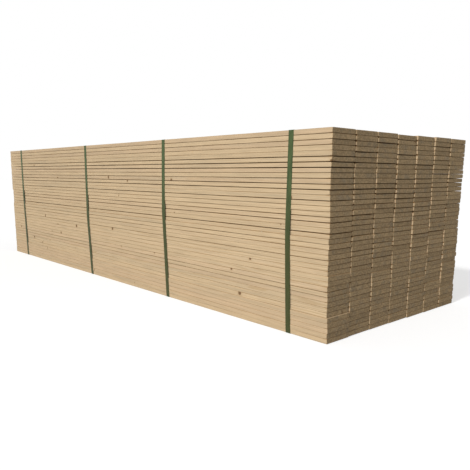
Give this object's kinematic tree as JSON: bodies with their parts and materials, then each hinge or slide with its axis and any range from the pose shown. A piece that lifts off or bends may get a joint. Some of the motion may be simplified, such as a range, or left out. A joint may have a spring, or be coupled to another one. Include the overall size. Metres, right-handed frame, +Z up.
{
  "type": "strapped stack of sawn lumber boards",
  "caption": "Block of sawn softwood boards, stacked flat in layers and columns without spacers and tied round the girth with flat green plastic straps.",
  "frame": {"origin": "middle of the base: the centre of the plan, on the floor plane under the straps", "axes": "+X along the boards, towards the end that faces the camera in the picture; +Y across the stack, away from the lit long side; +Z up"},
  "size_m": [4.0342, 1.2484, 1.005],
  "materials": {
    "sawn_softwood": "matte",
    "strap_plastic": "satin"
  },
  "bodies": {
    "root": {"board_layer_01": "sawn_softwood", "board_layer_02": "sawn_softwood", "board_layer_03": "sawn_softwood", "board_layer_04": "sawn_softwood", "board_layer_05": "sawn_softwood", "board_layer_06": "sawn_softwood", "board_layer_07": "sawn_softwood", "board_layer_08": "sawn_softwood", "board_layer_09": "sawn_softwood", "board_layer_10": "sawn_softwood", "board_layer_11": "sawn_softwood", "board_layer_12": "sawn_softwood", "board_layer_13": "sawn_softwood", "board_layer_14": "sawn_softwood", "board_layer_15": "sawn_softwood", "board_layer_16": "sawn_softwood", "board_layer_17": "sawn_softwood", "board_layer_18": "sawn_softwood", "board_layer_19": "sawn_softwood", "board_layer_20": "sawn_softwood", "board_layer_21": "sawn_softwood", "board_layer_22": "sawn_softwood", "board_layer_23": "sawn_softwood", "board_layer_24": "sawn_softwood", "board_layer_25": "sawn_softwood", "board_layer_26": "sawn_softwood", "board_layer_27": "sawn_softwood", "board_layer_28": "sawn_softwood", "board_layer_29": "sawn_softwood", "board_layer_30": "sawn_softwood", "board_layer_31": "sawn_softwood", "board_layer_32": "sawn_softwood", "board_layer_33": "sawn_softwood", "board_layer_34": "sawn_softwood", "board_layer_35": "sawn_softwood", "board_layer_36": "sawn_softwood", "board_layer_37": "sawn_softwood", "board_layer_38": "sawn_softwood", "board_layer_39": "sawn_softwood", "board_layer_40": "sawn_softwood", "strap_1": "strap_plastic", "strap_2": "strap_plastic", "strap_3": "strap_plastic", "strap_4": "strap_plastic"}
  },
  "joints": []
}
